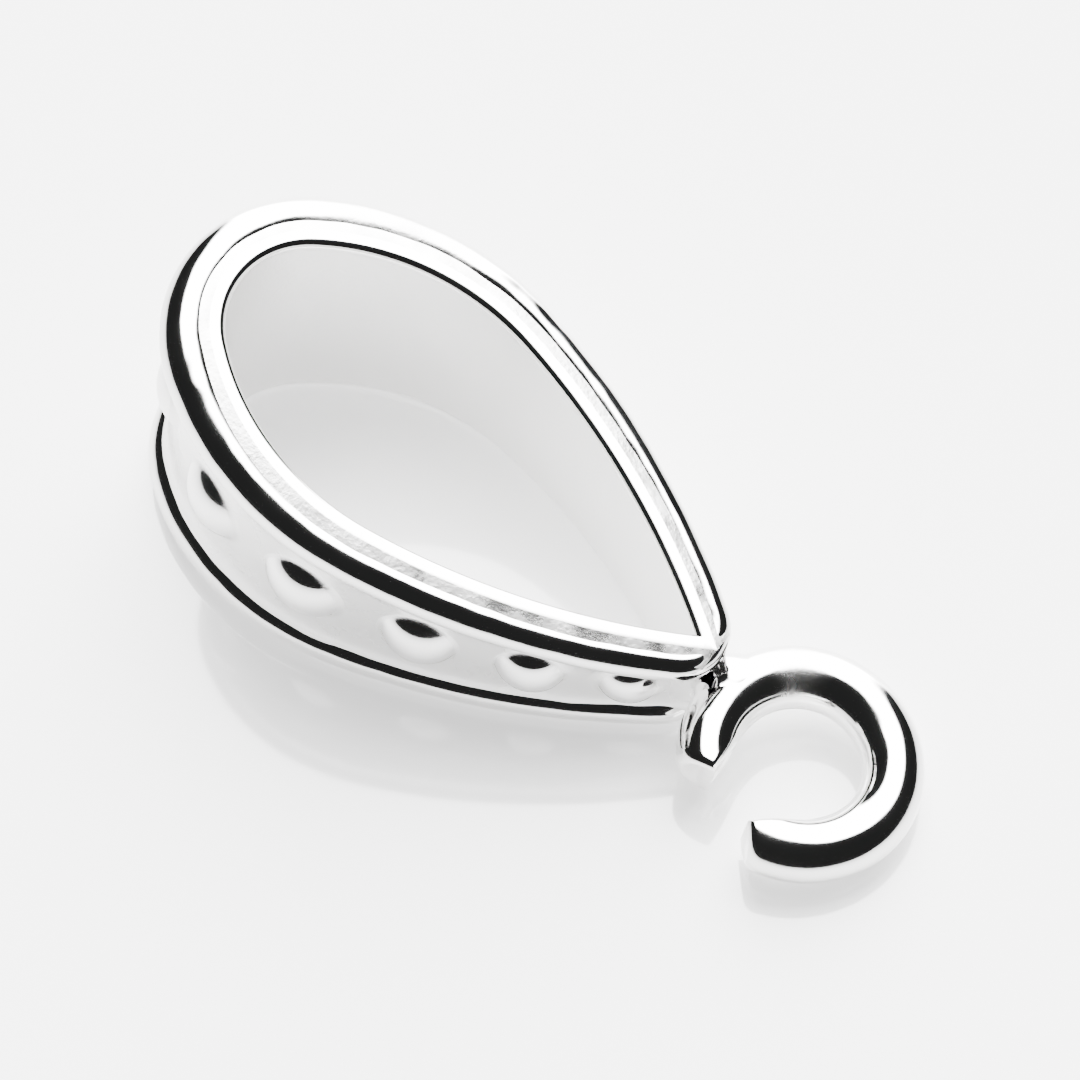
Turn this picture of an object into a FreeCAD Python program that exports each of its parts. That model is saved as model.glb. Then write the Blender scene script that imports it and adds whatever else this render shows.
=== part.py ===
"""Bail finding in polished silver: a tapered strip bent to a teardrop loop, with a raised rail along both
edges, a row of domes in the channel between them, and an open wire ring soldered to its tip.

It is modelled in its own frame first: X runs from the inside of the bend to the tip, Y across the
teardrop and Z across the strip, with the strip's middle plane at z = 0. The finished piece is then laid
on its side rail, as it rests on a table. All sizes are in millimetres and all angles in degrees.
"""
import FreeCAD, Part
import os
import re
from math import asin, cos, degrees, hypot, radians, sin, tan
import Sketcher
from FreeCAD import Placement, Rotation, Vector

NODE = "bail"

# Driving dimensions, each one a named cell of the sheet. A teardrop has three arcs a side, and a turn is
# the angle that the strip has turned through from the middle of the bend.
SIZES = {
    "bend_radius": 1.44,
    "bend_turn": 49.0,
    "shoulder_radius": 3.97,
    "shoulder_turn": 101.0,
    "flank_radius": 12.3,
    # strip, and how far the raised floor of its channel stays inside its sides
    "wall": 0.33,
    "half_width": 2.367,
    "floor_inset": 0.31,
    # rails of round wire that thins out from the bend to the tip; the radii of their middle line, to which
    # the channel's floor is raised
    "rail_bend_radius": 2.00,
    "rail_shoulder_radius": 4.374,
    "rail_flank_radius": 12.34,
    "rail_wire_bend": 0.43,
    "rail_wire_tip": 0.28,
    "rail_nose_wire": 0.29,
    # ring of round wire; its angles are about its centre, from +X
    "ring_along": 10.87,
    "ring_across": -0.28,
    "ring_radius": 1.426,
    "ring_wire": 0.486,
    "stub_end": 230.0,
    "open_end": 267.5,
    "nip_angle": 42.0,
    # solder that joins the ring to the tip
    "solder_radius": 0.50,
    "solder_along": 9.22,
    "solder_across": 0.10,
}
HOLLOW = ("bend_radius", "shoulder_radius", "flank_radius")
RAIL_LINE = ("rail_bend_radius", "rail_shoulder_radius", "rail_flank_radius")

# Domes of one side, from the bend to the tip: turn of the strip under the dome, diameter of the dome's
# ball, and how far its crown stands out from the hollow
DOME_COLUMNS = ("turn", "ball", "crown")
DOMES = (
    (29.4, 1.52, 0.96),
    (67.1, 1.52, 0.94),
    (91.8, 1.48, 0.91),
    (106.4, 1.34, 0.87),
    (114.2, 1.22, 0.80),
    (121.0, 1.06, 0.71),
)

# Sections of a rail in its bend, shoulder and flank
RAIL_SECTIONS = (4, 4, 3)

# Degrees by which a rail's nose laps over each of its halves
NOSE_LAP = 8.0

# Reach of the blocks that limit the strip, and of the two cuts that point each wire end
BLOCK_START = -2.0
BLOCK_END = 8.9
BLOCK_HALF = 4.0
NIP_LENGTH = 0.9
NIP_DEPTH = 0.5

doc = FreeCAD.newDocument("bail_finding")
sheet = doc.addObject("Spreadsheet::Sheet", "Sizes")


def fill_sheet():
    """Write each driving dimension into a cell that has its name as alias."""
    cells = dict(SIZES)
    for number, dome in enumerate(DOMES, 1):
        for column, value in zip(DOME_COLUMNS, dome):
            cells[f"dome_{column}_{number}"] = value
    for row, (alias, value) in enumerate(cells.items(), 1):
        sheet.set(f"A{row}", alias)
        sheet.set(f"B{row}", str(value))
        sheet.setAlias(f"B{row}", alias)
    doc.recompute()
    return tuple(cells)


ALIASES = fill_sheet()

# Values that follow from the driving ones: the angle of the sides that lets rail and ring lie on one
# plane, and the arc centres of the hollow on the side where y is positive
DERIVED = {
    "side_angle": "acos(ring_wire / hypot(half_width; ring_along + ring_radius))"
                  " - atan((ring_along + ring_radius) / half_width)",
    "shoulder_x": "bend_radius + (shoulder_radius - bend_radius) * cos(bend_turn)",
    "shoulder_y": "(bend_radius - shoulder_radius) * sin(bend_turn)",
    "flank_x": "shoulder_x + (flank_radius - shoulder_radius) * cos(shoulder_turn)",
    "flank_y": "shoulder_y + (shoulder_radius - flank_radius) * sin(shoulder_turn)",
}


def formula(text):
    """Put the name of the object that holds it before each named value in a formula."""
    def full_name(match):
        word = match[0]
        if word in ALIASES:
            return "Sizes." + word
        return "Derived." + word if word in DERIVED else word
    return re.sub(r"[a-z][a-z_0-9]*", full_name, text)


def add(kind, name, **values):
    """Add an object to the document with plain property values."""
    thing = doc.addObject(kind, name)
    for key, value in values.items():
        setattr(thing, key, value)
    return thing


def bind(thing, **formulas):
    """Bind an object's properties to formulas of the named values."""
    for key, text in formulas.items():
        thing.setExpression(key, formula(text))
    return thing


def bind_place(thing, along, across, height="0"):
    for axis, text in zip("xyz", (along, across, height)):
        thing.setExpression(f"Placement.Base.{axis}", formula(text))
    return thing


def work_out_derived():
    """Hold the values that follow from the driving dimensions."""
    derived = add("App::VarSet", "Derived")
    for name, text in DERIVED.items():
        derived.addProperty("App::PropertyFloat", name)
        bind(derived, **{name: text})
    doc.recompute()


def outward(turn):
    """Direction out of the loop where the strip has turned by this much, on the upper side."""
    return Vector(-cos(radians(turn)), sin(radians(turn)), 0)


class Teardrop:
    """Three tangent arcs a side, from the middle of the bend to the tip, worked out from the sheet."""

    def __init__(self, radius_names, extra=0.0):
        self.radii = [sheet.get(name) + extra for name in radius_names]
        self.turns = [sheet.get("bend_turn"), sheet.get("shoulder_turn")]
        self.centres = [Vector(sheet.get("bend_radius"), 0, 0)]
        for turn, inner, outer in zip(self.turns, self.radii, self.radii[1:]):
            self.centres.append(self.centres[-1] - outward(turn) * (outer - inner))
        self.turns.append(180.0 + degrees(asin(self.centres[2].y / self.radii[2])))

    def point(self, turn):
        """Point of the upper side at a turn."""
        part = sum(turn > limit for limit in self.turns[:2])
        return self.centres[part] + outward(turn) * self.radii[part]


def outline(name, radius_names, grow=None):
    """Sketch of a closed teardrop of five tangent arcs, whose radii are the named cells."""
    drop = Teardrop(radius_names, sheet.get(grow) if grow else 0.0)
    first_turn, second_turn, last_turn = drop.turns
    sketch = add("Sketcher::SketchObject", name)

    def arc(number, begin, finish, side=1):
        centre = Vector(drop.centres[number].x, side * drop.centres[number].y, 0)
        circle = Part.Circle(centre, Vector(0, 0, 1), drop.radii[number])
        return sketch.addGeometry(Part.ArcOfCircle(circle, radians(begin), radians(finish)), False)

    bend = arc(0, 180 - first_turn, 180 + first_turn)
    upper = arc(1, 180 - second_turn, 180 - first_turn)
    lower = arc(1, 180 + first_turn, 180 + second_turn, side=-1)
    upper_flank = arc(2, 180 - last_turn, 180 - second_turn)
    lower_flank = arc(2, 180 + second_turn, 180 + last_turn, side=-1)

    def hold(kind, *places, text=None):
        index = sketch.addConstraint(Sketcher.Constraint(kind, *places))
        if text:
            unit = " * 1 deg" if kind == "Angle" else " * 1 mm"
            sketch.setExpression(f"Constraints[{index}]", f"({formula(text)}){unit}")

    axis, start, end, centre = -1, 1, 2, 3
    hold("PointOnObject", bend, centre, axis)
    hold("Vertical", bend, start, bend, end)
    hold("Tangent", bend, start, upper, end)
    hold("Tangent", bend, end, lower, start)
    hold("Tangent", upper, start, upper_flank, end)
    hold("Tangent", lower, end, lower_flank, start)
    hold("Coincident", upper_flank, start, lower_flank, end)
    hold("DistanceX", axis, start, bend, centre, drop.centres[0].x, text="bend_radius")
    hold("Angle", bend, radians(2 * first_turn), text="2 * bend_turn")
    for side in (upper, lower):
        hold("Angle", side, radians(second_turn - first_turn), text="shoulder_turn - bend_turn")
    for pieces, radius, radius_name in zip(((bend,), (upper, lower), (upper_flank, lower_flank)),
                                           drop.radii, radius_names):
        for piece in pieces:
            hold("Radius", piece, radius, text=radius_name + (f" + {grow}" if grow else ""))
    return sketch


def teardrop_block(name, radius_names, grow=None):
    """Teardrop outline drawn out on both sides of the middle plane."""
    sketch = outline(name + "_outline", radius_names, grow)
    return add("Part::Extrusion", name, Base=sketch, DirMode="Custom", Dir=Vector(0, 0, 1),
               LengthFwd=2 * BLOCK_HALF, Symmetric=True, Solid=True)


def taper_block(name, inset="0"):
    """Block round the X axis whose flat sides are the sides of the strip, or stay inside them by an inset."""
    block = add("Part::Wedge", name, Xmin=-BLOCK_HALF, Xmax=BLOCK_HALF, X2min=-BLOCK_HALF, X2max=BLOCK_HALF,
                Ymin=BLOCK_START, Ymax=BLOCK_END)
    block.Placement = Placement(Vector(), Rotation(Vector(0, 0, 1), -90))
    begin = f"(half_width - {inset} - tan(side_angle) * ({BLOCK_START}))"
    finish = f"(half_width - {inset} - tan(side_angle) * ({BLOCK_END}))"
    return bind(block, Zmin="-" + begin, Zmax=begin, Z2min="-" + finish, Z2max=finish)


def boolean(kind, name, first, *others):
    """Common, cut or fusion of objects; a fusion takes any number of them."""
    if kind == "Part::MultiFuse":
        return add(kind, name, Shapes=[first, *others], Refine=False)
    return add(kind, name, Base=first, Tool=others[0])


def rail_centre(point, wire, side):
    """Place of the rail's middle over a point of its line, so that its wire touches the strip's side."""
    slope = tan(radians(doc.Derived.side_angle))
    height = sheet.get("half_width") - slope * point.x - wire * hypot(1, slope)
    return Vector(point.x, point.y, side * height)


def make_rail(name, side):
    """Tapering round wire along one edge of the strip, bent round the tip of the hollow in a nose."""
    line = Teardrop(RAIL_LINE)
    slope = tan(radians(doc.Derived.side_angle))
    thick, thin = sheet.get("rail_wire_bend"), sheet.get("rail_wire_tip")
    bend_turn, tip_turn = line.turns[0], Teardrop(HOLLOW).turns[2]

    turns = [0.0]
    for finish, count in zip((*line.turns[:2], tip_turn), RAIL_SECTIONS):
        begin = turns[-1]
        turns += [begin + (finish - begin) * step / count for step in range(1, count + 1)]

    pieces = []
    for strip_name, across in (("back", 1), ("front", -1)):
        rings = []
        for turn in turns:
            share = max(0.0, turn - bend_turn) / (tip_turn - bend_turn)
            wire = thick + share * (thin - thick)
            place = line.point(turn)
            centre = rail_centre(Vector(place.x, across * place.y, 0), wire, side)
            heading = Vector(sin(radians(turn)), across * cos(radians(turn)), 0)
            heading.z = -side * slope * heading.x
            ring = Part.makeCircle(wire)
            ring.Placement = Placement(centre, Rotation(Vector(), Vector(0, 0, 1), heading, "ZYX"))
            rings.append(Part.Wire([ring]))
        pieces.append(add("Part::Feature", f"{name}_{strip_name}", Shape=Part.makeLoft(rings, True, False)))
    end = line.point(tip_turn)
    nose_radius = end.y / outward(tip_turn).y
    half_angle = 180 - tip_turn + NOSE_LAP
    nose = bind(add("Part::Torus", name + "_nose", Radius1=nose_radius, Angle3=2 * half_angle),
                Radius2="rail_nose_wire")
    nose.Placement = Placement(
        rail_centre(Vector(end.x - outward(tip_turn).x * nose_radius, 0, 0), sheet.get("rail_nose_wire"), side),
        Rotation(Vector(0, 1, 0), side * doc.Derived.side_angle) * Rotation(Vector(0, 0, 1), -half_angle))
    return pieces + [nose]


def arc_under(turn):
    """Centre and radius formulas of the hollow's arc at a turn."""
    if turn <= SIZES["bend_turn"]:
        return "bend_radius", "0", "bend_radius"
    if turn <= SIZES["shoulder_turn"]:
        return "shoulder_x", "shoulder_y", "shoulder_radius"
    return "flank_x", "flank_y", "flank_radius"


def make_domes():
    """A mirrored pair of balls for each row of the dome table."""
    domes = []
    for number, (turn, ball, crown) in enumerate(DOMES, 1):
        centre_x, centre_y, radius = arc_under(turn)
        reach = f"({radius} + dome_crown_{number} - dome_ball_{number} / 2)"
        along = f"{centre_x} - {reach} * cos(dome_turn_{number})"
        across = f"{centre_y} + {reach} * sin(dome_turn_{number})"
        for side, sign in (("back", ""), ("front", "-")):
            dome = add("Part::Sphere", f"dome_{side}_{number}")
            bind(dome, Radius=f"dome_ball_{number} / 2")
            domes.append(bind_place(dome, along, f"{sign}({across})"))
    return domes


def make_nips(name, end, tangent):
    """Two blocks that cut one wire end to a point, as pliers leave it; tangent leads out of the end."""
    nips = []
    for side, length, depth, turn in (
        ("outer", NIP_DEPTH, NIP_LENGTH, f"{tangent} + 90 - nip_angle"),
        ("inner", NIP_LENGTH, NIP_DEPTH, f"{tangent} + 180 + nip_angle"),
    ):
        nip = add("Part::Box", f"{name}_nip_{side}", Length=length, Width=depth)
        nip.Placement = Placement(Vector(), Rotation(Vector(0, 0, 1), 1))
        bind(nip, **{"Height": "4 * ring_wire", "Placement.Rotation.Angle": turn})
        bind_place(nip, f"ring_along + ring_radius * cos({end})", f"ring_across + ring_radius * sin({end})",
                   "-2 * ring_wire")
        nips.append(nip)
    return nips


def make_ring():
    """Open ring of round wire, its ends nipped to points."""
    wire = add("Part::Torus", "ring_round")
    wire.Placement = Placement(Vector(), Rotation(Vector(0, 0, 1), SIZES["open_end"]))
    bind(wire, **{"Radius1": "ring_radius", "Radius2": "ring_wire", "Angle3": "360 + stub_end - open_end",
                  "Placement.Rotation.Angle": "open_end"})
    bind_place(wire, "ring_along", "ring_across")
    nips = make_nips("stub", "stub_end", "(stub_end + 90)") + make_nips("open", "open_end", "(open_end - 90)")
    return boolean("Part::Cut", "ring", wire, boolean("Part::MultiFuse", "nips", *nips))


def make_loop():
    """Strip with its raised channel floor, rails, domes and solder, hollow inside."""
    strip = boolean("Part::Common", "strip", teardrop_block("outside", HOLLOW, "wall"), taper_block("sides"))
    floor = boolean("Part::Common", "floor", teardrop_block("floor_outside", RAIL_LINE),
                    taper_block("floor_sides", "floor_inset"))
    solder = bind(add("Part::Sphere", "solder"), Radius="solder_radius")
    bind_place(solder, "solder_along", "solder_across")
    band = boolean("Part::MultiFuse", "band", strip, floor)
    full = boolean("Part::MultiFuse", "full_loop", band, *make_rail("upper_rail", 1),
                   *make_rail("lower_rail", -1), *make_domes(), solder)
    return boolean("Part::Cut", "loop", full, teardrop_block("hollow", HOLLOW))


def lay_on_side(thing):
    """Turn the piece until one side rail lies on z = 0, with the middle of its base at the origin."""
    doc.recompute()
    turn = Rotation(Vector(0, 1, 0), doc.Derived.side_angle)
    turned = thing.Shape.transformed(Placement(Vector(), turn).toMatrix(), True)
    box = turned.optimalBoundingBox(False)
    thing.Placement = Placement(Vector(-box.Center.x, -box.Center.y, -box.ZMin), turn)
    doc.recompute()


def check():
    """Stop before anything is written if an object failed or a shape is not sound."""
    for thing in doc.Objects:
        if {"Invalid", "Error"} & set(thing.State):
            raise RuntimeError(f"{thing.Name} failed: {thing.State}")
        shape = getattr(thing, "Shape", None)
        if shape is not None and (shape.isNull() or not shape.isValid()):
            raise RuntimeError(f"{thing.Name} has no valid shape")
    for sketch in doc.findObjects("Sketcher::SketchObject"):
        if not sketch.FullyConstrained:
            raise RuntimeError(f"{sketch.Name} is not fully constrained")


work_out_derived()
bail = boolean("Part::MultiFuse", NODE, make_loop(), make_ring())
bail.Label = NODE
lay_on_side(bail)
check()
if len(bail.Shape.Solids) != 1:
    raise RuntimeError(f"the soldered piece has to be one solid, not {len(bail.Shape.Solids)}")

os.makedirs("parts", exist_ok=True)
bail.Shape.exportStep(f"parts/{bail.Label}.step")
print(f"{bail.Label}: {bail.Shape.Volume:.3f} cubic mm, {len(bail.Shape.Faces)} faces, {bail.Shape.BoundBox}")
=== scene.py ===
"""Looks of the bail finding: a beaded teardrop strip with round rails and an open wire ring, in
polished silver, lying on its side on a pale glossy table.

The pieces are worked out in millimetres in the bail's own frame (X from the bend to the tip, Y
across the teardrop, Z across the strip) and are then laid down on the table with LAY.
"""
from math import cos, hypot, pi, radians, sin, tan
import bmesh
import bpy
import numpy as np
from mathutils import Matrix, Vector, noise


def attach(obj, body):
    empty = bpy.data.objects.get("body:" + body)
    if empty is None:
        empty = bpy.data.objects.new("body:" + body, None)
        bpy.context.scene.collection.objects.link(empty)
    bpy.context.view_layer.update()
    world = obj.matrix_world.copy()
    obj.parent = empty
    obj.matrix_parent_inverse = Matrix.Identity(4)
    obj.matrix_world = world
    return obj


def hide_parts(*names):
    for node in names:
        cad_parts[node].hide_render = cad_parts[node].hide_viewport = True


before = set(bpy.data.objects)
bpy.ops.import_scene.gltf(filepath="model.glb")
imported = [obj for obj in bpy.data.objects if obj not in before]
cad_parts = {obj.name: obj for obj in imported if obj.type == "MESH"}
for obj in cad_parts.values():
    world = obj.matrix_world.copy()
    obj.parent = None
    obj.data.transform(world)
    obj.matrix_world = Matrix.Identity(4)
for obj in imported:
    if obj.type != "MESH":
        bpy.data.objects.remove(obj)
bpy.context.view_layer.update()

MM = 0.001

# Lean of the strip's side planes towards the tip, and their distance from its middle plane at X = 0
SIDE_ANGLE = 8.671893
SLOPE = tan(radians(SIDE_ANGLE))
HALF_WIDTH = 2.367

# Lays the bail's own frame down on the lower rail and the ring, in metres
LAY = (Matrix.Translation(Vector((-5.67582, 0.0, 2.3405)) * MM)
       @ Matrix.Rotation(radians(SIDE_ANGLE), 4, "Y") @ Matrix.Scale(MM, 4))

# Turns of the strip, from the middle of the bend, at which the first two of its three arcs end
BEND_TURN = 49.0
SHOULDER_TURN = 101.0

# Radius of the hollow's bend, which is also the X of that arc's centre
BEND_RADIUS = 1.44

# Parts of the strip's section; the join is where the rim runs under a rail
RIM, JOIN, FLOOR, WALL = range(4)

# Radius of the rim's inner edge, and the rim from there to under the rail: height over the hollow,
# inset from the side plane, part
RIM_EDGE = 0.10
RIM_LINE = (
    (0.23, 0.0, RIM),
    (0.25, 0.002, JOIN),
    (0.52, 0.055, JOIN),
    (0.52, 0.2, JOIN),
)

# Inset of the channel's floor from the side planes
FLOOR_INSET = 0.30

# Strip: distance between its points along it, turn by which it is made past the tip, X at which it
# is cut off
STRIP_STEP = 0.07
STRIP_PAST_TIP = 3.5
STRIP_END = 8.95

# X from which the channel's floor is rougher towards the tip, and the length over which that comes
ROUGH_FROM = 6.2
ROUGH_OVER = 2.0

# How far the solder and the domes' feet fill the channel, at the bend and at the tip
FILL_BEND = 0.11
FILL_TIP = 0.06

# Fillet of that fill at the rails, in radii of their wire: its height, the inset up to which it is
# full, and the length over which it fades
FILLET = 0.32
FILLET_FULL = 1.8
FILLET_FADE = 0.4

# Matte mark of the channel's floor
FLOOR_SATIN = 0.6

# Radius of the rails' wire at the bend and at the tip
RAIL_BEND = 0.43
RAIL_TIP = 0.28

# Domes: turn of the strip under each, diameter of its ball, height of its crown over the hollow
DOMES = (
    (29.4, 1.80, 0.96),
    (67.1, 1.80, 0.94),
    (91.8, 1.75, 0.91),
    (106.4, 1.58, 0.87),
    (114.2, 1.44, 0.80),
    (121.0, 1.25, 0.71),
)

# Points round a dome, how uneven it is, how softly it runs into the floor, and the width over which
# its foot turns matte
DOME_POINTS = 64
DOME_UNEVEN = 0.02
DOME_BLEND = 0.06
DOME_FOOT = 0.05

# How much smaller the forms are taken that the domes and the solder blend into, so that the skirts
# of both dip under them
SINK = 0.03

# Ring: middle, radius of its middle line, radius of its wire, angles in degrees at which it ends
RING_PLACE = np.array((10.87, -0.28, 0.0))
RING_RADIUS = 1.426
RING_WIRE = 0.486
STUB_END = 230.0
OPEN_END = 267.5

# Nipped ends of the ring: turn of both faces from square to the wire, radius of their rounded edges
NIP_ANGLE = 42.0
NIP_EDGE = 0.14

# Ball of solder between the tip and the ring, how softly it runs on to the wire and the rails, how
# lumpy it is, and X of the rails' noses
SOLDER_PLACE = np.array((9.22, 0.10, 0.0))
SOLDER_RADIUS = 0.50
SOLDER_TO_WIRE = 0.22
SOLDER_TO_RAIL = 0.16
SOLDER_LUMPS = 0.03
NOSE_X = 8.96

# Middle and reach of the matte patches: along X on the far side of the bend, and round the ring in
# degrees
WORN_BEND = (1.2, 1.5)
WORN_RING = (128.0, 22.0)


def outward(turn):
    """Directions out of the loop at signed turns in degrees; positive turns are on the +Y side."""
    angle = np.radians(turn)
    return np.stack((-np.cos(angle), np.sin(angle), 0 * angle), -1)


def circle(count):
    """Evenly spaced angles of a full circle."""
    return np.linspace(0, 2 * pi, count, endpoint=False)


class Teardrop:
    """Outline of three tangent arcs a side. A turn is signed: positive on the +Y side."""

    def __init__(self, radii):
        self.radii = np.array(radii)
        centres = [np.array((BEND_RADIUS, 0.0, 0.0))]
        for turn, inner, outer in zip((BEND_TURN, SHOULDER_TURN), radii, radii[1:]):
            centres.append(centres[-1] - outward(turn) * (outer - inner))
        self.centres = np.array(centres)
        self.tip_turn = 180.0 + np.degrees(np.arcsin(self.centres[2][1] / radii[2]))

    def arc(self, turn):
        """Arc centres and radii at signed turns."""
        size = np.abs(turn)
        part = (size > BEND_TURN).astype(int) + (size > SHOULDER_TURN)
        mirror = np.stack((1 + 0 * size, np.where(turn < 0, -1.0, 1.0), 0 * size), -1)
        return self.centres[part] * mirror, self.radii[part]

    def at(self, turn, height=0.0):
        """Points at signed turns, at a height over the outline."""
        turn = np.asarray(turn, float)
        centre, radius = self.arc(turn)
        return centre + outward(turn) * (radius + height)[..., None]

    def even_turns(self, last, step):
        """Turns from 0 to last that are evenly spaced along the outline."""
        fine = np.linspace(0, last, 4000)
        points = self.at(fine)
        length = np.concatenate(([0], np.cumsum(np.linalg.norm(np.diff(points, axis=0), axis=1))))
        return np.interp(np.linspace(0, length[-1], int(length[-1] / step) + 1), length, fine)


# Outline of the hollow, and the rails' middle line in plan, from the bend's arc to the tip's
HOLLOW = Teardrop((BEND_RADIUS, 3.97, 12.3))
RAIL_LINE = Teardrop((2.00, 4.374, 12.34))


def taper(turn, bend, tip):
    """Value at signed turns of what changes evenly from the end of the bend to the tip."""
    share = np.clip((np.abs(turn) - BEND_TURN) / (HOLLOW.tip_turn - BEND_TURN), 0, 1)
    return bend + share * (tip - bend)


def fill_height(turn):
    """How far the channel is filled above the rails' middle line at signed turns."""
    return taper(turn, FILL_BEND, FILL_TIP)


def floor_height(turn):
    """Height of the channel's filled floor over the hollow."""
    return ((RAIL_LINE.at(turn) - HOLLOW.at(turn)) * outward(turn)).sum(-1) + fill_height(turn)


def side_height(x):
    """Half width of the strip at x."""
    return HALF_WIDTH - SLOPE * x


def waves(points, size, seed):
    """Smooth noise from 0 to 1 at points in millimetres, with features of that size."""
    flat = points.reshape(-1, 3) / size + seed
    values = np.array([noise.noise(Vector(p)) for p in flat])
    return np.clip(0.5 + 0.5 * values, 0, 1).reshape(points.shape[:-1])


def patch(values, middle, reach):
    """Mark of a matte patch, from 1 round a middle value to 0 about a reach away."""
    return np.clip(1.6 * np.exp(-((values - middle) / reach) ** 2) - 0.5, 0, 1)


def smooth_low(a, b, blend):
    """Lower of two values with a rounded change between them."""
    h = np.clip(0.5 + 0.5 * (b - a) / blend, 0, 1)
    return b + (a - b) * h - blend * h * (1 - h)


def make_piece(name, points, faces, material, smooth_angle=40, **marks):
    """Piece from points in the bail's own frame, with marks that the material reads."""
    mesh = bpy.data.meshes.new(name)
    mesh.from_pydata([tuple(p) for p in points.reshape(-1, 3)], [], faces)
    for mark, values in marks.items():
        attribute = mesh.attributes.new(mark, "FLOAT", "POINT")
        attribute.data.foreach_set("value", np.asarray(values, np.float32).ravel())
    return finish_piece(name, mesh, material, smooth_angle)


def finish_piece(name, mesh, material, smooth_angle=40):
    """Clean the mesh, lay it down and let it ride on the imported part."""
    form = bmesh.new()
    form.from_mesh(mesh)
    bmesh.ops.remove_doubles(form, verts=form.verts, dist=1e-5)
    bmesh.ops.dissolve_degenerate(form, edges=form.edges, dist=1e-6)
    bmesh.ops.recalc_face_normals(form, faces=form.faces)
    form.to_mesh(mesh)
    form.free()
    mesh.shade_smooth()
    mesh.set_sharp_from_angle(angle=radians(smooth_angle))
    mesh.transform(LAY)
    mesh.materials.append(material)
    piece = bpy.data.objects.new(name, mesh)
    bpy.context.scene.collection.objects.link(piece)
    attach(piece, "root")
    return piece


def grid_faces(rows, columns, wrap_rows=False, wrap_columns=False):
    """Quads of a grid of points, row by row."""
    last_row = rows if wrap_rows else rows - 1
    last_column = columns if wrap_columns else columns - 1
    return [
        (r * columns + c, r * columns + (c + 1) % columns,
         (r + 1) % rows * columns + (c + 1) % columns, (r + 1) % rows * columns + c)
        for r in range(last_row) for c in range(last_column)
    ]


# Strip

def strip_section():
    """Rows of the strip's section: height over the hollow, which means nothing on the floor; inset
    from the side plane; share across; part."""
    edge = [(RIM_EDGE + RIM_EDGE * cos(radians(a)), RIM_EDGE + RIM_EDGE * sin(radians(a)), RIM)
            for a in np.linspace(180, 270, 8)]
    edge += RIM_LINE
    across = np.linspace(-1, 1, 61)
    section = [(height, inset, 1.0, part) for height, inset, part in edge]
    section += [(1.0, FLOOR_INSET, -share, FLOOR) for share in across]
    section += [(height, inset, -1.0, part) for height, inset, part in reversed(edge)]
    section += [(0.0, RIM_EDGE, share, WALL) for share in across[1:-1]]
    return np.array(section)


def cut(form, place, normal, **side):
    """Cut a form in a plane and clear one side of it."""
    bmesh.ops.bisect_plane(form, geom=form.verts[:] + form.edges[:] + form.faces[:], dist=1e-5,
                           plane_co=place, plane_no=normal, **side)


def make_strip(material):
    """Strip, of which the +Y half is made, cut off in the middle and at the tip, and mirrored."""
    section = strip_section()
    turns = HOLLOW.even_turns(HOLLOW.tip_turn + STRIP_PAST_TIP, STRIP_STEP)
    heights, insets, shares, part = section.T
    floor, wall, join = part == FLOOR, part == WALL, part == JOIN
    level = np.where(floor[None], floor_height(turns)[:, None], heights[None])
    points = np.stack([HOLLOW.at(np.full(len(section), t), h) for t, h in zip(turns, level)])
    points[..., 2] = shares * (side_height(points[..., 0]) - insets)
    near_tip = np.clip((points[..., 0] - ROUGH_FROM) / ROUGH_OVER, 0, 1)
    ripple = (waves(points, size=0.45, seed=3.7) * (0.010 + 0.06 * near_tip)
              + waves(points, size=1.3, seed=8.1) * 0.025)
    wire = taper(turns, RAIL_BEND, RAIL_TIP)[:, None]
    inset = side_height(points[..., 0]) - np.abs(points[..., 2])
    rise = FILLET * wire * np.exp(-np.clip(inset / wire - FILLET_FULL, 0, None) / FILLET_FADE)
    out = outward(turns)[:, None, :]
    points += out * ((rise - ripple) * floor)[..., None]
    points += out * ((waves(points, size=0.9, seed=5.5) * 0.012) * wall)[..., None]

    mesh = bpy.data.meshes.new("strip")
    mesh.from_pydata([tuple(p) for p in points.reshape(-1, 3)], [],
                     grid_faces(len(turns), len(section), wrap_columns=True))
    uneven = np.clip(1.5 * waves(points, size=0.3, seed=6.6) - 0.05, 0.25, 1)
    satin = floor * FLOOR_SATIN + wall + join * uneven
    attribute = mesh.attributes.new("satin", "FLOAT", "POINT")
    attribute.data.foreach_set("value", satin.astype(np.float32).ravel())
    form = bmesh.new()
    form.from_mesh(mesh)
    cut(form, (0, 0, 0), (0, 1, 0), clear_inner=True)
    cut(form, (STRIP_END, 0, 0), (1, 0, 0), clear_outer=True)
    copied = bmesh.ops.duplicate(form, geom=form.verts[:] + form.edges[:] + form.faces[:])["geom"]
    for item in copied:
        if isinstance(item, bmesh.types.BMVert):
            item.co.y = -item.co.y
    bmesh.ops.remove_doubles(form, verts=form.verts, dist=1e-4)
    form.to_mesh(mesh)
    form.free()
    return finish_piece("strip", mesh, material)


# Rails

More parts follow.
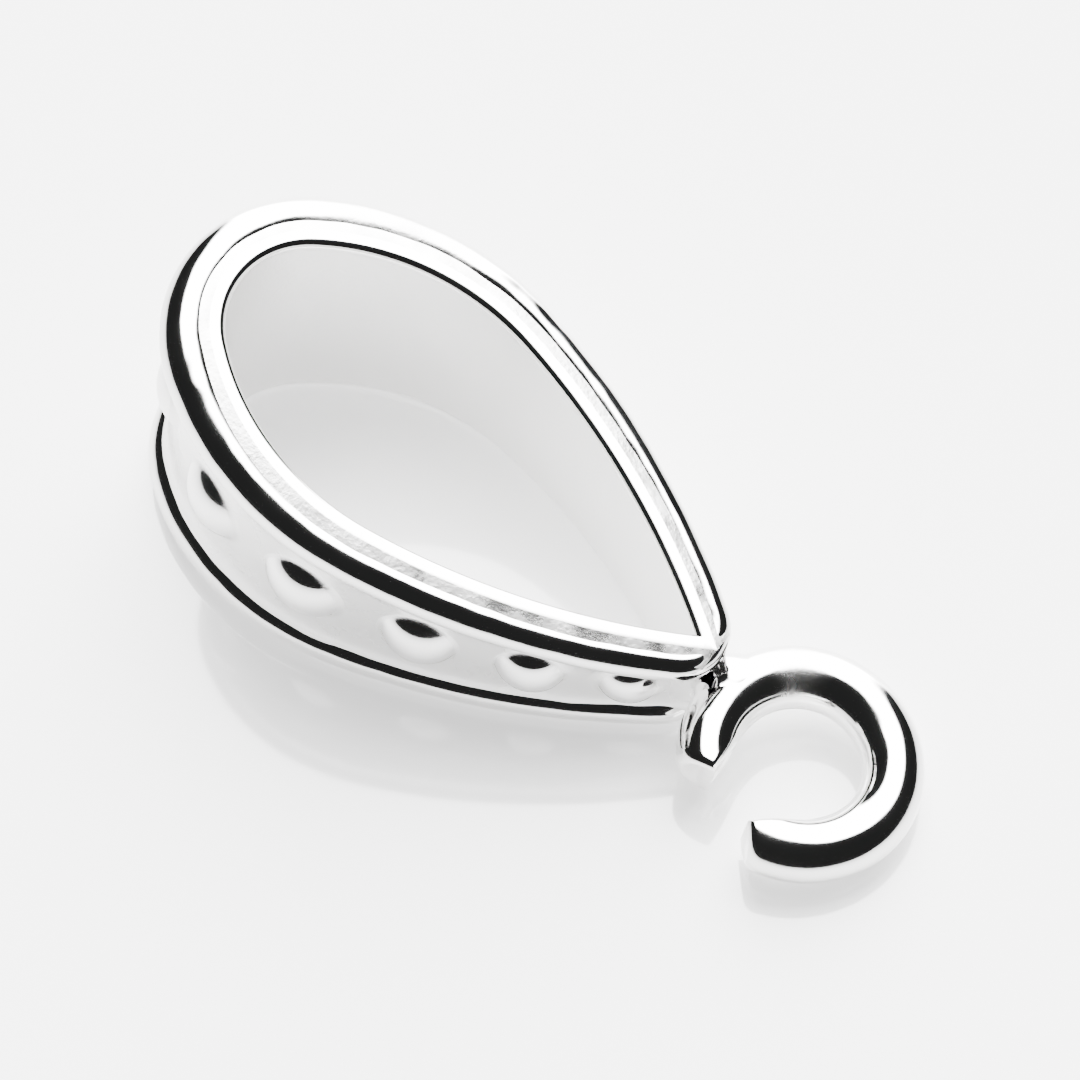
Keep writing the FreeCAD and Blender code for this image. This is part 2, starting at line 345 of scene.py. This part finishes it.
def rail_path(step):
    """Closed middle line of a rail in plan, and the wire's radius along it."""
    turns = RAIL_LINE.even_turns(HOLLOW.tip_turn, step=0.02)
    branch = RAIL_LINE.at(turns)[:, :2]
    wire = taper(turns, RAIL_BEND, RAIL_TIP)
    nose_turns = np.linspace(HOLLOW.tip_turn, 180, 30)[1:]
    end_out = outward(HOLLOW.tip_turn)[:2]
    nose_radius = branch[-1, 1] / end_out[1]
    nose = branch[-1] - end_out * nose_radius + outward(nose_turns)[:, :2] * nose_radius
    half = np.concatenate((branch, nose))
    half_wire = np.concatenate((wire, np.full(len(nose), RAIL_TIP)))
    whole = np.concatenate((half, (half * (1, -1))[-2::-1]))
    wires = np.concatenate((half_wire, half_wire[-2::-1]))
    length = np.concatenate(([0], np.cumsum(np.linalg.norm(np.diff(whole, axis=0), axis=1))))
    even = np.arange(0, length[-1], step)
    path = np.stack([np.interp(even, length, whole[:, k]) for k in (0, 1)], -1)
    return path, np.interp(even, length, wires)


def make_rail(name, side, material):
    """Wire along the strip's upper edge (side 1) or lower edge (side -1)."""
    path, wire = rail_path(step=0.05)
    heights = side * (side_height(path[:, 0]) - wire * hypot(1, SLOPE))
    line = np.concatenate((path, heights[:, None]), 1)
    ahead = np.roll(line, -1, 0) - np.roll(line, 1, 0)
    ahead /= np.linalg.norm(ahead, axis=1, keepdims=True)
    up = np.array((SLOPE, 0, side)) / hypot(1, SLOPE)
    across = np.cross(ahead, up)
    across /= np.linalg.norm(across, axis=1, keepdims=True)
    over = np.cross(across, ahead)
    angles = circle(44)
    spokes = across[:, None] * np.cos(angles)[:, None] + over[:, None] * np.sin(angles)[:, None]
    points = line[:, None] + spokes * wire[:, None, None]
    sink = (waves(points, size=1.3, seed=2.2 + side) * 0.022
            + waves(points, size=0.4, seed=6.4 + side) * 0.012)
    points -= spokes * sink[..., None]
    worn = patch(points[..., 0], *WORN_BEND) * (points[..., 1] > 0)
    worn = worn * waves(points, size=0.6, seed=7.7)
    faces = grid_faces(len(line), len(angles), wrap_rows=True, wrap_columns=True)
    return make_piece(name, points, faces, material, satin=worn)


# Domes

def dome_rings(base):
    """Distances from the dome's axis of its rings of points, close together over its steep foot."""
    top = np.sin(np.linspace(0.04, 1.0, 18) * pi / 2) * base
    return np.concatenate((top, base + np.array((0.02, 0.045, 0.08, 0.12, 0.17))))


def slow_waves(points, seed):
    """Slow waves from 0 to 1 that make each dome a little uneven."""
    along_x = np.sin(2.3 * points[..., 0] + 1.7 * seed)
    along_y = np.sin(2.9 * points[..., 1] + 0.6 * seed)
    along_z = np.cos(2.6 * points[..., 2] + seed)
    return 0.5 + 0.5 * along_x * along_y * along_z


def dome_points(turn, ball, crown, seed):
    """Top point of a dome and its rings of points, let down on to its ball and the floor in small
    steps, and the matte mark of each ring."""
    centre, radius = HOLLOW.arc(turn)
    out = outward(turn)
    along = np.array((out[1], -out[0], 0.0))
    across = np.array((0.0, 0.0, 1.0))
    ball_at = centre + out * (radius + crown - ball / 2)
    level = float(floor_height(turn))
    base = np.sqrt((ball / 2) ** 2 - (ball / 2 - crown + level) ** 2)
    floor_centre, floor_radius = RAIL_LINE.arc(turn)
    floor_top = floor_radius + fill_height(turn) - SINK
    rings = dome_rings(base)
    angles = circle(DOME_POINTS)
    spokes = along * np.cos(angles)[:, None] + across * np.sin(angles)[:, None]
    plan = ball_at + rings[:, None, None] * spokes[None]
    height = np.full(plan.shape[:2], ball / 2 + 0.05)
    for _ in range(90):
        place = plan + out * height[..., None]
        uneven = DOME_UNEVEN * slow_waves(place, seed)
        to_ball = np.linalg.norm(place - ball_at, axis=-1) - ball / 2 + uneven
        to_floor = np.linalg.norm(place[..., :2] - floor_centre[:2], axis=-1) - floor_top
        height -= 0.8 * smooth_low(to_ball, to_floor, DOME_BLEND)
    place = plan + out * height[..., None]
    top = ball_at + out * (ball / 2 - DOME_UNEVEN * slow_waves(ball_at + out * ball / 2, seed))
    return top, place, np.clip((rings - base) / DOME_FOOT + 1, 0, 1)


def make_domes(material):
    """Domes on both long sides, in one piece."""
    all_points, faces, feet = [], [], []
    for number, (turn, ball, crown) in enumerate(DOMES):
        for side in (1, -1):
            top, place, foot = dome_points(np.array(side * turn), ball, crown, number + 7 * side)
            start = len(all_points)
            all_points.append(top)
            all_points.extend(place.reshape(-1, 3))
            faces += [(start, start + 1 + c, start + 1 + (c + 1) % DOME_POINTS)
                      for c in range(DOME_POINTS)]
            faces += [tuple(start + 1 + i for i in quad)
                      for quad in grid_faces(len(foot), DOME_POINTS, wrap_columns=True)]
            feet.append(np.concatenate(([0.0], np.repeat(foot, DOME_POINTS))))
    return make_piece("domes", np.array(all_points), faces, material, satin=np.concatenate(feet))


# Ring

def wire_end(around, end, tangent, begin, wire):
    """Ring angles at which lines along the wire, at a distance from its middle, meet the two nipped
    faces of an end; halved in from an angle well inside and one a little past the end."""
    tip = RING_RADIUS * np.array((cos(radians(end)), sin(radians(end))))
    inside, outside = np.full(len(around), radians(begin)), np.full(len(around), radians(end))
    outside += (outside - inside) * 0.3
    for _ in range(30):
        middle = 0.5 * (inside + outside)
        place = (RING_RADIUS + wire * np.cos(around)) * np.array((np.cos(middle), np.sin(middle)))
        past = np.zeros(len(around), bool)
        for turn in (radians(tangent - NIP_ANGLE), radians(tangent + NIP_ANGLE)):
            past |= (place[0] - tip[0]) * cos(turn) + (place[1] - tip[1]) * sin(turn) > 0
        outside = np.where(past, middle, outside)
        inside = np.where(past, inside, middle)
    return inside


def make_ring(material):
    """Round wire bent to an open ring, with both ends nipped to a chisel point."""
    around = circle(52)
    ends = []
    for end, lead, inward in ((OPEN_END - 360, -90, 60), (STUB_END, 90, -60)):
        side, flat = [wire_end(around, end, end + lead, end + inward, wire)
                      for wire in (RING_WIRE, RING_WIRE - NIP_EDGE)]
        side += np.sign(inward) * NIP_EDGE / RING_RADIUS
        ends.append((side, flat))
    (begin, begin_flat), (finish, finish_flat) = ends
    round_off = np.radians(np.linspace(0, 90, 8))[:, None]
    share = np.linspace(0, 1, 200)[:, None]
    angles = np.concatenate((
        (begin + (begin_flat - begin) * np.sin(round_off))[:0:-1],
        begin + (finish - begin) * share,
        (finish + (finish_flat - finish) * np.sin(round_off))[1:]))
    shrink = np.concatenate((np.cos(round_off)[:0:-1], np.ones_like(share), np.cos(round_off)[1:]))
    wire = RING_WIRE - NIP_EDGE * (1 - shrink)
    out = np.stack((np.cos(angles), np.sin(angles), 0 * angles), -1)
    up = np.array((0.0, 0.0, 1.0))
    spokes = out * np.cos(around)[:, None] + up * np.sin(around)[:, None]
    points = RING_PLACE + out * RING_RADIUS + spokes * wire[..., None]
    sink = waves(points, size=1.1, seed=4.9) * 0.016 + waves(points, size=0.35, seed=1.9) * 0.004
    points -= spokes * sink[..., None]
    worn = patch(np.degrees(angles), *WORN_RING) * waves(points, size=0.4, seed=3.1)
    rows, columns = angles.shape
    faces = grid_faces(rows, columns, wrap_columns=True)
    quarter = columns // 4
    for first in (0, (rows - 1) * columns):
        outer = [first + c % columns for c in range(-quarter, quarter + 1)]
        inner = [first + c for c in range(quarter, 3 * quarter + 1)]
        faces += [tuple(outer), tuple(inner)]
    return make_piece("ring", points, faces, material, smooth_angle=30, satin=worn)


# Solder

def make_solder(material):
    """Blob that runs from the tip of the loop up to the ring's wire, with hollow fillets. Its
    points go out from a point inside it in small steps."""
    rings, spokes = 60, 96
    polar = np.linspace(0.02, pi - 0.02, rings)[:, None]
    turn = circle(spokes)[None]
    way = np.stack((np.sin(polar) * np.cos(turn), np.sin(polar) * np.sin(turn),
                    np.cos(polar) + 0 * turn), -1)
    begin = SOLDER_PLACE + np.array((0.12, -0.12, 0.0))
    reach = np.full(way.shape[:2], 0.05)
    for _ in range(70):
        place = begin + way * reach[..., None]
        ball = np.linalg.norm(place - SOLDER_PLACE, axis=-1) - SOLDER_RADIUS + SINK
        flat = np.linalg.norm(place[..., :2] - RING_PLACE[:2], axis=-1) - RING_RADIUS
        wire = np.hypot(flat, place[..., 2]) - RING_WIRE + SINK
        solid = smooth_low(ball, wire, SOLDER_TO_WIRE)
        for side in (1, -1):
            nose = np.array((NOSE_X, 0.0, side * (side_height(NOSE_X) - RAIL_TIP)))
            rail = np.linalg.norm(place - nose, axis=-1) - RAIL_TIP + SINK
            solid = smooth_low(solid, rail, SOLDER_TO_RAIL)
        reach = np.clip(reach - 0.7 * solid, 0.02, 0.85)
    points = begin + way * reach[..., None]
    points -= way * (SOLDER_LUMPS * waves(points, size=0.3, seed=9.3))[..., None]
    faces = grid_faces(rings, spokes, wrap_columns=True)
    last = (rings - 1) * spokes
    faces += [tuple(range(spokes)), tuple(last + c for c in reversed(range(spokes)))]
    return make_piece("solder", points, faces, material)


# Materials

def new_material(name):
    material = bpy.data.materials.new(name)
    material.use_nodes = True
    nodes = material.node_tree.nodes
    return material, nodes, material.node_tree.links, nodes["Principled BSDF"]


def add_node(nodes, kind, inputs=(), **settings):
    """New node with the values of its unlinked inputs."""
    node = nodes.new(kind)
    for key, value in settings.items():
        setattr(node, key, value)
    for key, value in dict(inputs).items():
        node.inputs[key].default_value = value
    return node


def polished_silver():
    """Silver with an uneven polish; the mark "satin" takes it to a dull and gritty finish."""
    material, nodes, links, shader = new_material("polished_silver")
    shader.inputs["Metallic"].default_value = 1.0
    shader.inputs["Base Color"].default_value = (0.95, 0.945, 0.935, 1)
    place = add_node(nodes, "ShaderNodeTexCoord")
    mark = add_node(nodes, "ShaderNodeAttribute", attribute_name="satin")
    wear = add_node(nodes, "ShaderNodeTexNoise", {"Scale": 900.0, "Detail": 6.0, "Roughness": 0.6})
    links.new(place.outputs["Object"], wear.inputs["Vector"])
    gloss = add_node(nodes, "ShaderNodeMapRange",
                     {"From Min": 0.3, "From Max": 0.7, "To Min": 0.05, "To Max": 0.12})
    links.new(wear.outputs["Fac"], gloss.inputs["Value"])
    dull = add_node(nodes, "ShaderNodeMix", {"B": 0.40}, data_type="FLOAT")
    links.new(mark.outputs["Fac"], dull.inputs["Factor"])
    links.new(gloss.outputs["Result"], dull.inputs["A"])
    links.new(dull.outputs["Result"], shader.inputs["Roughness"])
    dents = add_node(nodes, "ShaderNodeTexNoise", {"Scale": 14000.0, "Detail": 4.0})
    links.new(place.outputs["Object"], dents.inputs["Vector"])
    grit = add_node(nodes, "ShaderNodeMix", {"A": 0.05, "B": 0.8}, data_type="FLOAT")
    links.new(mark.outputs["Fac"], grit.inputs["Factor"])
    relief = add_node(nodes, "ShaderNodeBump", {"Distance": 0.00001})
    links.new(dents.outputs["Fac"], relief.inputs["Height"])
    links.new(grit.outputs["Result"], relief.inputs["Strength"])
    links.new(relief.outputs["Normal"], shader.inputs["Normal"])
    return material


def table_material():
    """Pale glossy surface with some light of its own."""
    material, _, _, shader = new_material("table")
    shader.inputs["Base Color"].default_value = (0.93, 0.93, 0.93, 1)
    shader.inputs["Roughness"].default_value = 0.08
    shader.inputs["IOR"].default_value = 1.9
    shader.inputs["Emission Color"].default_value = (1, 1, 1, 1)
    shader.inputs["Emission Strength"].default_value = 1.0
    return material


# World

# Level directions towards the window and to its right
BEHIND = Vector((-0.577, 0.817, 0))
ASIDE = Vector((0.817, 0.577, 0))

# Elevation of the window's middle, cosine at its front edge, how far it reaches to each side, how
# soft its edges are, and the light of the window and of the rest
WINDOW_RISE = radians(30)
WINDOW_EDGE = 0.54
WINDOW_LEFT = -0.32
WINDOW_RIGHT = 0.58
WINDOW_SOFT = 0.05
WINDOW_STRENGTH = 18.0
DARK_STRENGTH = 0.02


def beyond(nodes, links, place, way, edge):
    """1 for directions that reach further along a way than an edge, 0 for the others, and soft
    between."""
    along = add_node(nodes, "ShaderNodeVectorMath", operation="DOT_PRODUCT")
    along.inputs[1].default_value = way
    links.new(place.outputs["Generated"], along.inputs[0])
    soft = add_node(nodes, "ShaderNodeMapRange",
                    {"From Min": edge - WINDOW_SOFT, "From Max": edge + WINDOW_SOFT},
                    interpolation_type="SMOOTHSTEP")
    links.new(along.outputs["Value"], soft.inputs["Value"])
    return soft.outputs["Result"]


def both(nodes, links, first, second):
    """Product of two outputs."""
    product = add_node(nodes, "ShaderNodeMath", operation="MULTIPLY")
    links.new(first, product.inputs[0])
    links.new(second, product.inputs[1])
    return product.outputs["Value"]


def set_world():
    """White window overhead and behind, with dark surroundings to its sides and in front. Camera
    rays see plain white."""
    world = bpy.data.worlds.new("studio")
    bpy.context.scene.world = world
    world.use_nodes = True
    nodes, links = world.node_tree.nodes, world.node_tree.links
    back = nodes["Background"]
    back.inputs["Color"].default_value = (1, 1, 1, 1)
    place = add_node(nodes, "ShaderNodeTexCoord")
    middle = BEHIND * cos(WINDOW_RISE) + Vector((0, 0, 1)) * sin(WINDOW_RISE)
    depth = beyond(nodes, links, place, middle, WINDOW_EDGE)
    width = both(nodes, links, beyond(nodes, links, place, ASIDE, WINDOW_LEFT),
                 beyond(nodes, links, place, -ASIDE, -WINDOW_RIGHT))
    light = add_node(nodes, "ShaderNodeMapRange",
                     {"To Min": DARK_STRENGTH, "To Max": WINDOW_STRENGTH})
    links.new(both(nodes, links, depth, width), light.inputs["Value"])
    path = add_node(nodes, "ShaderNodeLightPath")
    seen = add_node(nodes, "ShaderNodeMix", {"B": 1.0}, data_type="FLOAT")
    links.new(path.outputs["Is Camera Ray"], seen.inputs["Factor"])
    links.new(light.outputs["Result"], seen.inputs["A"])
    links.new(seen.outputs["Result"], back.inputs["Strength"])


# Table and camera, in metres

# Side of the table, and how far it lies under the part, so that the two don't touch
TABLE_SIZE = 1.2
TABLE_DEPTH = 0.00001

# What the camera looks at, its turn and elevation, its distance and its lens in millimetres
CAMERA_TARGET = Vector((-0.00036, 0.00063, 0.0008))
CAMERA_TURN = radians(35.2)
CAMERA_RISE = radians(58.8)
CAMERA_DISTANCE = 0.0675
CAMERA_LENS = 145.35


def make_table():
    bpy.ops.mesh.primitive_plane_add(size=TABLE_SIZE, location=(0, 0, -TABLE_DEPTH))
    table = bpy.context.object
    table.name = "table"
    table.data.materials.append(table_material())


def set_camera():
    data = bpy.data.cameras.new("camera")
    camera = bpy.data.objects.new("camera", data)
    bpy.context.scene.collection.objects.link(camera)
    back = Vector((sin(CAMERA_TURN) * cos(CAMERA_RISE), -cos(CAMERA_TURN) * cos(CAMERA_RISE),
                   sin(CAMERA_RISE)))
    camera.location = CAMERA_TARGET + back * CAMERA_DISTANCE
    camera.rotation_euler = (-back).to_track_quat("-Z", "Y").to_euler()
    data.lens = CAMERA_LENS
    data.clip_start = 0.005
    data.clip_end = 5.0
    bpy.context.scene.camera = camera


polished = polished_silver()

strip = make_strip(polished)
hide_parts("bail")
make_rail("rail_upper", 1, polished)
make_rail("rail_lower", -1, polished)
make_domes(polished)
make_ring(polished)
make_solder(polished)
make_table()
set_world()
set_camera()
